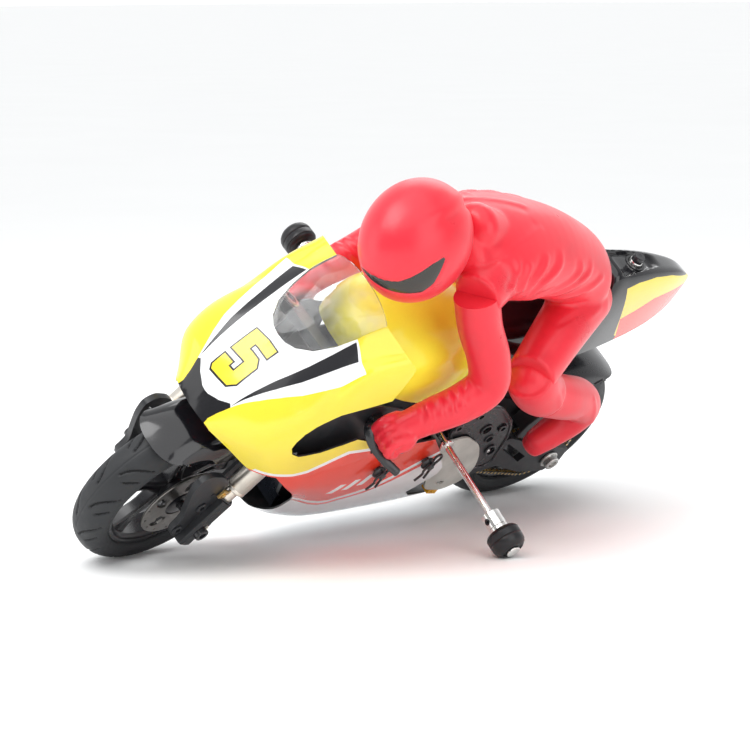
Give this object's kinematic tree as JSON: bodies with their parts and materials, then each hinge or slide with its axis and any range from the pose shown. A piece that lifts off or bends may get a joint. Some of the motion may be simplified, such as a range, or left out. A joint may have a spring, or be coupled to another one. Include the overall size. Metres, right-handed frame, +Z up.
{
  "type": "radio-controlled racing motorcycle with rider",
  "caption": "Remote-controlled sport motorcycle with a moulded rider, leaning on an outrigger roller, with steering, sprung fork and swingarm, spinning wheels and a geared chain drive.",
  "frame": {"origin": "on the floor, at the centre of the bounding box in plan", "axes": "+X towards the front wheel, +Y towards the side the bike leans to, which is the rider's left, +Z up; the bike is stored leaning about 42.7 degrees to its left, on both tyres and its left roller"},
  "size_m": [0.3996, 0.211, 0.2155],
  "materials": {
    "tyre_rubber": "matte moulded rubber",
    "black_plastic": "satin moulded nylon",
    "gloss_black": "polished",
    "satin_steel": "turned and brushed",
    "dark_steel": "gunmetal",
    "champagne": "anodised, pale champagne",
    "yellow_paint": "gloss",
    "body_paint": "gloss paint with white, black and yellow areas",
    "lower_paint": "gloss paint with yellow, red, white and grey bands",
    "clear_shell": "clear polycarbonate",
    "red_vinyl": "satin soft vinyl",
    "visor_paint": "smoked paint",
    "grey_plate": "satin",
    "blue_pack": "shrink sleeve",
    "carbon": "satin composite plate"
  },
  "bodies": {
    "bike": {"chassis_left": "carbon", "chassis_right": "carbon", "steering_head": "dark_steel", "subframe": "black_plastic", "battery": "blue_pack", "speed_controller": "black_plastic", "receiver": "black_plastic", "steering_servo": "black_plastic", "motor_can": "dark_steel", "gear_cover": "black_plastic", "side_guard": "grey_plate", "outrigger_bar": "satin_steel", "outrigger_collar_left": "satin_steel", "outrigger_collar_right": "satin_steel", "body_post_front": "black_plastic", "body_post_rear": "black_plastic", "upper_fairing": "body_paint", "windshield": "clear_shell", "lower_fairing": "lower_paint", "tank_cover": "yellow_paint", "seat": "gloss_black", "tail_cowl": "body_paint", "handlebar_left": "black_plastic", "handlebar_right": "black_plastic", "rider_torso": "red_vinyl", "rider_helmet": "red_vinyl", "rider_visor": "visor_paint", "rider_arm_left": "red_vinyl", "rider_arm_right": "red_vinyl", "rider_leg_left": "red_vinyl", "rider_leg_right": "red_vinyl"},
    "steering": {"yoke_lower": "black_plastic", "yoke_upper": "black_plastic", "fork_tube_left": "champagne", "fork_tube_right": "champagne"},
    "fork_slider": {"fork_rod_left": "champagne", "fork_rod_right": "champagne", "fork_lower_left": "black_plastic", "fork_lower_right": "black_plastic", "front_axle": "satin_steel", "front_fender": "gloss_black"},
    "front_wheel": {"front_tyre": "tyre_rubber", "front_rim": "black_plastic", "front_disc": "dark_steel"},
    "swing_arm": {"swingarm": "black_plastic", "rear_axle": "satin_steel", "chain": "dark_steel", "rear_hugger": "black_plastic"},
    "rear_wheel": {"rear_tyre": "tyre_rubber", "rear_rim": "black_plastic", "rear_sprocket": "dark_steel"},
    "damper_body": {"shock_body": "dark_steel"},
    "damper_rod": {"shock_rod": "satin_steel", "shock_spring": "satin_steel"},
    "layshaft_unit": {"layshaft": "satin_steel"},
    "motor_rotor": {"motor_shaft": "satin_steel"},
    "horn": {"servo_horn": "gloss_black"},
    "tie_rod": {"steering_rod": "satin_steel"},
    "roller_left": {"outrigger_roller_left": "tyre_rubber"},
    "roller_right": {"outrigger_roller_right": "tyre_rubber"}
  },
  "joints": [
    {"name": "steering_turn", "type": "hinge", "parent": "bike", "child": "steering", "pos_m": [0.09691, 0.01091, 0.11101], "axis": [-0.4012, 0.6191, 0.6751], "range_deg": [-27, 17]},
    {"name": "fork_slide", "type": "slide", "parent": "steering", "child": "fork_slider", "axis": [-0.4012, 0.6191, 0.6751], "range_m": [0, 0.006], "stiffness_N_per_m": 1500, "springref_m": -0.01},
    {"name": "front_wheel_spin", "type": "hinge", "parent": "fork_slider", "child": "front_wheel", "pos_m": [0.1425, -0.04896, 0.04488], "axis": [-0.0854, 0.7086, -0.7004], "continuous": true},
    {"name": "swingarm_swing", "type": "hinge", "parent": "bike", "child": "swing_arm", "pos_m": [-0.05542, -0.04358, 0.05313], "axis": [-0.0056, 0.7354, -0.6776], "range_deg": [0, 6], "stiffness_Nm_per_rad": 6, "springref_deg": -14.32},
    {"name": "rear_wheel_spin", "type": "hinge", "parent": "swing_arm", "child": "rear_wheel", "pos_m": [-0.13946, -0.04799, 0.04904], "axis": [-0.0056, 0.7354, -0.6776], "continuous": true},
    {"name": "damper_tilt", "type": "hinge", "parent": "bike", "child": "damper_body", "pos_m": [-0.06207, -0.0036, 0.09657], "axis": [-0.0056, 0.7354, -0.6776], "range_deg": [-1.8, 0.1]},
    {"name": "damper_slide", "type": "slide", "parent": "damper_body", "child": "damper_rod", "axis": [0.1999, 0.6648, 0.7198], "range_m": [0, 0.002], "deforming": ["shock_spring"]},
    {"name": "layshaft_spin", "type": "hinge", "parent": "bike", "child": "layshaft_unit", "pos_m": [-0.05542, -0.04358, 0.05313], "axis": [-0.0056, 0.7354, -0.6776], "continuous": true},
    {"name": "motor_spin", "type": "hinge", "parent": "bike", "child": "motor_rotor", "pos_m": [-0.03872, -0.03569, 0.06155], "axis": [-0.0056, 0.7354, -0.6776], "continuous": true},
    {"name": "horn_turn", "type": "hinge", "parent": "bike", "child": "horn", "pos_m": [0.05001, 0.01233, 0.11294], "axis": [-0.4012, 0.6191, 0.6751], "range_deg": [-27, 17]},
    {"name": "tie_rod_turn", "type": "hinge", "parent": "horn", "child": "tie_rod", "pos_m": [0.0492, 0.01906, 0.10629], "axis": [-0.4012, 0.6191, 0.6751], "range_deg": [-17, 27]},
    {"name": "roller_left_spin", "type": "hinge", "parent": "bike", "child": "roller_left", "pos_m": [0.00022, 0.07566, 0.00942], "axis": [-0.0059, 0.6963, -0.7177], "continuous": true},
    {"name": "roller_right_spin", "type": "hinge", "parent": "bike", "child": "roller_right", "pos_m": [0.00153, -0.09642, 0.16798], "axis": [0.0052, -0.7722, 0.6354], "continuous": true}
  ],
  "couplings": [
    {"joint": "layshaft_spin", "follows": "rear_wheel_spin", "ratio": 3},
    {"joint": "motor_spin", "follows": "rear_wheel_spin", "ratio": -9},
    {"joint": "horn_turn", "follows": "steering_turn", "ratio": 1},
    {"joint": "tie_rod_turn", "follows": "steering_turn", "ratio": -1},
    {"joint": "damper_tilt", "follows": "swingarm_swing", "ratio": -0.29},
    {"joint": "damper_slide", "follows": "swingarm_swing", "m_per_rad": 0.01834}
  ]
}
